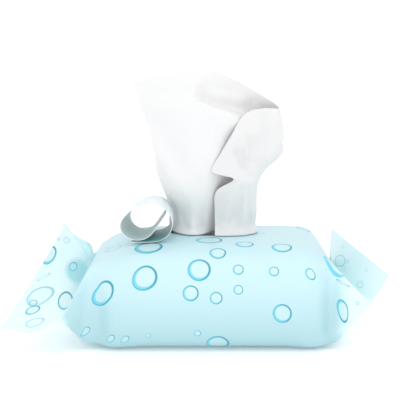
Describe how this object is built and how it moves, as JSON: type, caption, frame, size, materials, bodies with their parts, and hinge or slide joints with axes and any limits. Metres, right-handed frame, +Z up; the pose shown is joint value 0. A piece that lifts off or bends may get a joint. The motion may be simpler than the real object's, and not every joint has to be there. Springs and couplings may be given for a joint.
{
  "type": "wet wipes pack",
  "caption": "Opened soft pack of wet wipes: film pouch with crimped end fins, resealable label curled back, a stack of folded wipes inside and a wipe pulled half out.",
  "frame": {"origin": "centre of the flat base, where the pack rests", "axes": "+X along the pack towards the upturned fin, +Y to the back, +Z up"},
  "size_m": [0.227, 0.1212, 0.1628],
  "materials": {
    "film": "glossy pale aqua film printed with blue bubble rings",
    "label": "satin pale label film, plain",
    "wipe": "damp white non-woven cloth"
  },
  "bodies": {
    "root": {"film_pouch": "film", "reseal_label": "label", "pulled_wipe": "wipe", "folded_wipe_01": "wipe", "folded_wipe_02": "wipe", "folded_wipe_03": "wipe", "folded_wipe_04": "wipe", "folded_wipe_05": "wipe", "folded_wipe_06": "wipe", "folded_wipe_07": "wipe", "folded_wipe_08": "wipe", "folded_wipe_09": "wipe", "folded_wipe_10": "wipe", "folded_wipe_11": "wipe", "folded_wipe_12": "wipe", "folded_wipe_13": "wipe", "folded_wipe_14": "wipe", "folded_wipe_15": "wipe", "folded_wipe_16": "wipe", "folded_wipe_17": "wipe", "folded_wipe_18": "wipe", "folded_wipe_19": "wipe", "folded_wipe_20": "wipe", "folded_wipe_21": "wipe", "folded_wipe_22": "wipe", "folded_wipe_23": "wipe", "folded_wipe_24": "wipe", "folded_wipe_25": "wipe", "folded_wipe_26": "wipe", "folded_wipe_27": "wipe", "folded_wipe_28": "wipe", "folded_wipe_29": "wipe"}
  },
  "joints": []
}
